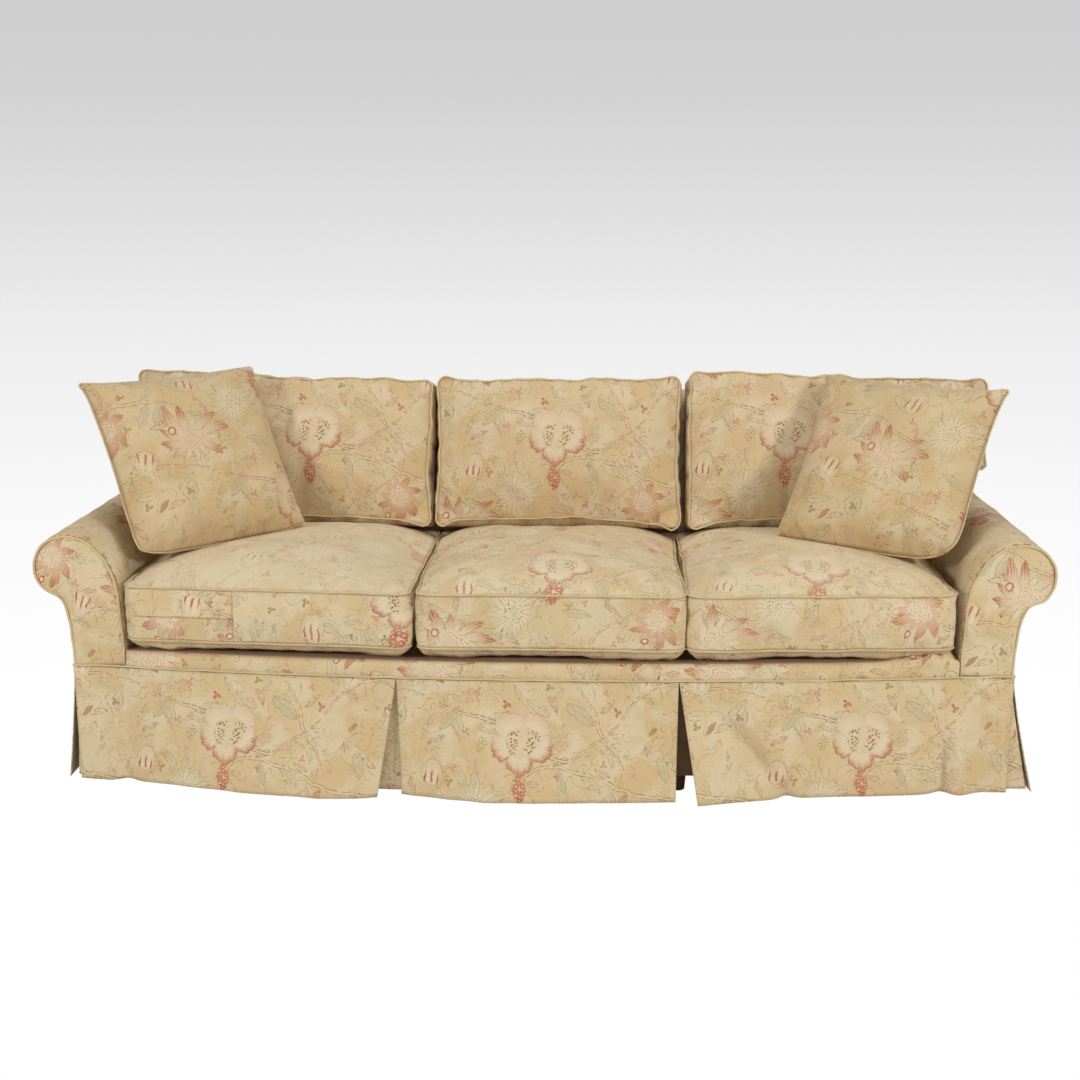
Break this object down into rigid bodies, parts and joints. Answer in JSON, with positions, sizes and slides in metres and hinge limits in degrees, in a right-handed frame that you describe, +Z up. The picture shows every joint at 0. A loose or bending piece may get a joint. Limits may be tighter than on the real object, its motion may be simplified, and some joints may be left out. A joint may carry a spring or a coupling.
{
  "type": "skirted sofa",
  "caption": "Skirted sofa with rolled arms, a sprung timber frame, boxed seat and back cushions that come out, and throw pillows.",
  "frame": {"origin": "centre of the footprint, at floor level", "axes": "+X along the sofa to its right seen from the front, +Y to its back, +Z up"},
  "size_m": [2.34, 0.968, 0.9483],
  "materials": {
    "cover_cloth": "washed linen-cotton with a faded floral print",
    "pillow_cloth": "washed linen-cotton with a faded floral print",
    "welt_cloth": "bias-cut cord covering of the same cloth",
    "timber": "sawn hardwood and plywood, unvarnished",
    "spring_steel": "drawn spring wire",
    "wadding": "polyester wrap over foam",
    "lining": "black non-woven lining and webbing"
  },
  "bodies": {
    "frame": {"front_rail": "timber", "back_rail": "timber", "side_rail_left": "timber", "side_rail_right": "timber", "stretchers": "timber", "spring_rail": "timber", "corner_blocks": "timber", "feet": "timber", "arm_stumps_left": "timber", "arm_stumps_right": "timber", "arm_rails_left": "timber", "arm_rails_right": "timber", "back_stiles": "timber", "back_top_rail": "timber", "back_tack_rail": "timber", "seat_springs": "spring_steel", "spring_clips": "spring_steel", "back_webbing": "lining", "deck_pad": "wadding", "arm_padding_left": "wadding", "arm_padding_right": "wadding", "back_padding": "wadding", "dust_cover": "lining", "deck_cover": "cover_cloth", "arm_cover_left": "cover_cloth", "arm_cover_right": "cover_cloth", "arm_front_left": "cover_cloth", "arm_front_right": "cover_cloth", "arm_welt_left": "welt_cloth", "arm_welt_right": "welt_cloth", "back_cover": "cover_cloth", "skirt_welt": "welt_cloth", "skirt_front_left": "cover_cloth", "skirt_front_middle": "cover_cloth", "skirt_front_right": "cover_cloth", "skirt_side_left": "cover_cloth", "skirt_side_right": "cover_cloth", "skirt_back": "cover_cloth", "pleat_underlays": "cover_cloth"},
    "seat_cushion_left": {"seat_cover_left": "cover_cloth", "seat_foam_left": "wadding"},
    "seat_cushion_middle": {"seat_cover_middle": "cover_cloth", "seat_foam_middle": "wadding"},
    "seat_cushion_right": {"seat_cover_right": "cover_cloth", "seat_foam_right": "wadding"},
    "back_cushion_left": {"back_cushion_cover_left": "cover_cloth", "back_cushion_fill_left": "wadding"},
    "back_cushion_middle": {"back_cushion_cover_middle": "cover_cloth", "back_cushion_fill_middle": "wadding"},
    "back_cushion_right": {"back_cushion_cover_right": "cover_cloth", "back_cushion_fill_right": "wadding"},
    "pillow_left": {"pillow_cover_left": "pillow_cloth", "pillow_fill_left": "wadding"},
    "pillow_right": {"pillow_cover_right": "pillow_cloth", "pillow_fill_right": "wadding"},
    "zip_slider": {"zip_slider_left": "spring_steel"}
  },
  "joints": [
    {"name": "seat_cushion_left_pull", "type": "slide", "parent": "frame", "child": "seat_cushion_left", "axis": [0, -1, 0], "range_m": [0, 0.7]},
    {"name": "seat_cushion_middle_pull", "type": "slide", "parent": "frame", "child": "seat_cushion_middle", "axis": [0, -1, 0], "range_m": [0, 0.7]},
    {"name": "seat_cushion_right_pull", "type": "slide", "parent": "frame", "child": "seat_cushion_right", "axis": [0, -1, 0], "range_m": [0, 0.7]},
    {"name": "back_cushion_left_lift", "type": "slide", "parent": "frame", "child": "back_cushion_left", "axis": [0, 0.2756, 0.9613], "range_m": [0, 0.5]},
    {"name": "back_cushion_middle_lift", "type": "slide", "parent": "frame", "child": "back_cushion_middle", "axis": [0, 0.2756, 0.9613], "range_m": [0, 0.5]},
    {"name": "back_cushion_right_lift", "type": "slide", "parent": "frame", "child": "back_cushion_right", "axis": [0, 0.2756, 0.9613], "range_m": [0, 0.5]},
    {"name": "pillow_left_lift", "type": "slide", "parent": "frame", "child": "pillow_left", "axis": [0, -0.4, 0.9165], "range_m": [0, 0.5]},
    {"name": "pillow_right_lift", "type": "slide", "parent": "frame", "child": "pillow_right", "axis": [0, -0.4, 0.9165], "range_m": [0, 0.5]},
    {"name": "zip_slider_run", "type": "slide", "parent": "seat_cushion_left", "child": "zip_slider", "axis": [-0.9998, 0.0197, 0], "range_m": [0, 0.15]}
  ]
}
